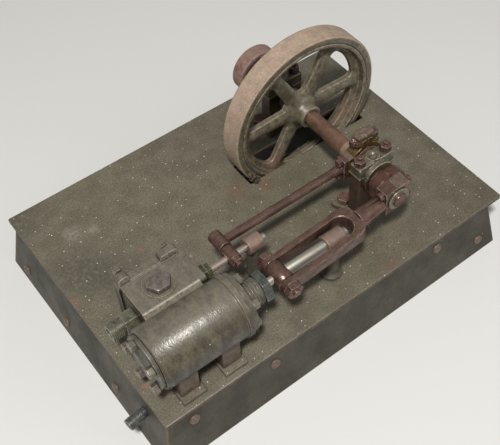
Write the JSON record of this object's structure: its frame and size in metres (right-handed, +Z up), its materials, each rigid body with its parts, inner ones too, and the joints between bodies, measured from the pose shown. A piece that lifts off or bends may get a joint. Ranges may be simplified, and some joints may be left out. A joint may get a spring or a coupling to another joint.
{
  "type": "model stationary steam engine",
  "caption": "Small horizontal steam engine model on a painted sheet-steel box base, with open crank, forked connecting rod, eccentric valve gear, flywheel and drive pulley.",
  "frame": {"origin": "on the floor under the middle of the whole engine", "axes": "+X along the cylinder towards the crankshaft, +Y along the crankshaft towards the flywheel, +Z up"},
  "size_m": [0.321, 0.2214, 0.1495],
  "materials": {
    "sheet_paint": "satin",
    "cylinder_paint": "satin",
    "bright_steel": "polished",
    "rusty_steel": "rusty",
    "cast_iron": "rusty",
    "bearing_brass": "dull"
  },
  "bodies": {
    "engine_bed": {"base_plate": "sheet_paint", "front_wall": "sheet_paint", "rear_wall": "sheet_paint", "left_end_wall": "sheet_paint", "right_end_wall": "sheet_paint", "exhaust_pipe": "bright_steel", "cylinder": "cylinder_paint", "cylinder_feet": "cylinder_paint", "rear_cover": "cylinder_paint", "front_cover": "cylinder_paint", "cover_bolts": "cylinder_paint", "gland_nut": "cylinder_paint", "chest_cover": "cylinder_paint", "chest_cover_bolts": "cylinder_paint", "chest_plug": "cylinder_paint", "steam_inlet": "cylinder_paint", "valve_gland": "cylinder_paint", "guide_bushes": "rusty_steel", "guide_posts": "rusty_steel", "main_bearing_pedestal": "cast_iron", "main_bearing_cap": "bearing_brass", "outboard_bearing_pedestal": "cast_iron", "outboard_bearing_cap": "bearing_brass", "bearing_packings": "bearing_brass", "bearing_nuts": "rusty_steel"},
    "crankshaft": {"crankshaft": "rusty_steel", "crank_disc": "rusty_steel", "eccentric_sheave": "cast_iron", "flywheel": "cast_iron", "pulley": "cast_iron"},
    "eccentric_rod": {"eccentric_strap": "bearing_brass", "eccentric_strap_cap": "bearing_brass", "strap_bolts": "rusty_steel", "eccentric_rod": "rusty_steel", "eccentric_rod_eye": "rusty_steel"},
    "valve_spindle": {"valve_rod": "bright_steel", "valve_crosshead": "rusty_steel"},
    "piston_rod": {"piston": "bright_steel", "piston_rod": "bright_steel", "crosshead": "rusty_steel"},
    "connecting_rod": {"connecting_rod": "rusty_steel", "big_end_cap": "rusty_steel", "big_end_bolts": "rusty_steel", "crosshead_pins": "rusty_steel", "crankpin": "rusty_steel"}
  },
  "joints": [
    {"name": "crank_spin", "type": "hinge", "parent": "engine_bed", "child": "crankshaft", "pos_m": [0.07582, 0.0363, 0.083], "axis": [0, 1, 0], "continuous": true},
    {"name": "eccentric_turn", "type": "hinge", "parent": "crankshaft", "child": "eccentric_rod", "pos_m": [0.07908, -0.03175, 0.08452], "axis": [0, 1, 0], "continuous": true},
    {"name": "valve_slide", "type": "slide", "parent": "engine_bed", "child": "valve_spindle", "axis": [1, 0, 0], "range_m": [-0.00686, 0.00034]},
    {"name": "piston_slide", "type": "slide", "parent": "engine_bed", "child": "piston_rod", "axis": [1, 0, 0], "range_m": [-0.00328, 0.01732]},
    {"name": "connecting_rod_swing", "type": "hinge", "parent": "piston_rod", "child": "connecting_rod", "pos_m": [-0.0322, -0.07675, 0.083], "axis": [0, 1, 0], "range_deg": [-1.72, 9.99]}
  ],
  "couplings": [
    {"joint": "eccentric_turn", "follows": "crank_spin", "ratio": -1}
  ]
}
